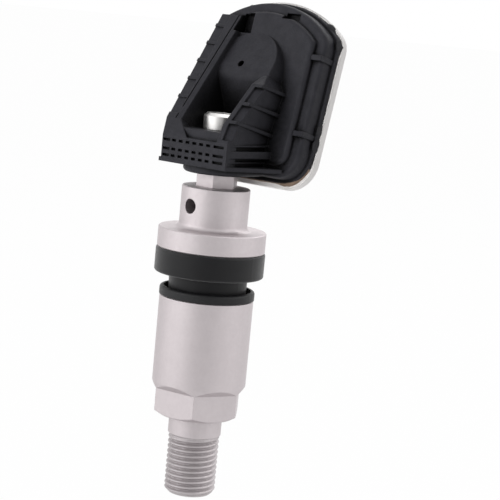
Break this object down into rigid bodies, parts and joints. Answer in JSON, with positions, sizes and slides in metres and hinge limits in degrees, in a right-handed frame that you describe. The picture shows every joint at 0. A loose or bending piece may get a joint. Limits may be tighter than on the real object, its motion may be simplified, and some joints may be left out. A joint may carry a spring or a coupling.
{
  "type": "tyre pressure sensor",
  "caption": "Tyre pressure sensor: a leaning black housing with a white back cover, screwed to a clamp-in aluminium valve with a rubber grommet and a sleeve nut.",
  "frame": {"origin": "on the valve's axis at its seat on the rim, the underside of the grommet's disc", "axes": "+Z along the valve towards the housing, -Y out of the housing's front with the arms and the port, +X to the right seen from that front"},
  "size_m": [0.0226, 0.0212, 0.0741],
  "materials": {
    "housing_plastic": "moulded, fine grain",
    "cover_plastic": "moulded, satin",
    "bead": "rough squeezed-out bead",
    "board": "solder mask",
    "chip": "moulded",
    "silicone": "soft",
    "steel": "plated",
    "ferrite": "sintered",
    "copper": "enamelled wire",
    "stem_aluminium": "satin, blasted",
    "nut_aluminium": "satin, blasted and anodised",
    "rubber": "moulded, matt",
    "washer_plastic": "moulded",
    "brass": "turned",
    "core_seal": "fluoropolymer ring"
  },
  "bodies": {
    "sensor": {"housing": "housing_plastic", "base_cover": "cover_plastic", "seam_bead": "bead", "circuit_board": "board", "pressure_sensor": "chip", "port_gasket": "silicone", "radio_chip": "chip", "crystal": "steel", "antenna_core": "ferrite", "antenna_winding": "copper", "battery_cell": "steel", "battery_tab_positive": "steel", "battery_tab_negative": "steel", "valve_stem": "stem_aluminium", "mounting_screw": "steel", "grommet": "rubber", "core_body": "brass", "core_gasket": "core_seal", "core_spring": "steel"},
    "washer": {"thrust_washer": "washer_plastic"},
    "nut": {"sleeve_nut": "nut_aluminium"},
    "pin": {"core_pin": "brass", "core_pin_seal": "rubber"}
  },
  "joints": [
    {"name": "washer_slide", "type": "slide", "parent": "sensor", "child": "washer", "axis": [0, 0, 1], "range_m": [-0.0091, 0.0021]},
    {"name": "nut_turn", "type": "hinge", "parent": "washer", "child": "nut", "pos_m": [0, 0, -0.012], "axis": [0, 0, 1], "range_deg": [-4320, 960]},
    {"name": "pin_press", "type": "slide", "parent": "sensor", "child": "pin", "axis": [0, 0, 1], "range_m": [0, 0.0012], "stiffness_N_per_m": 1000, "springref_m": -0.001, "deforming": ["core_spring"]}
  ],
  "couplings": [
    {"joint": "washer_slide", "follows": "nut_turn", "m_per_rad": 0.00011937}
  ]
}
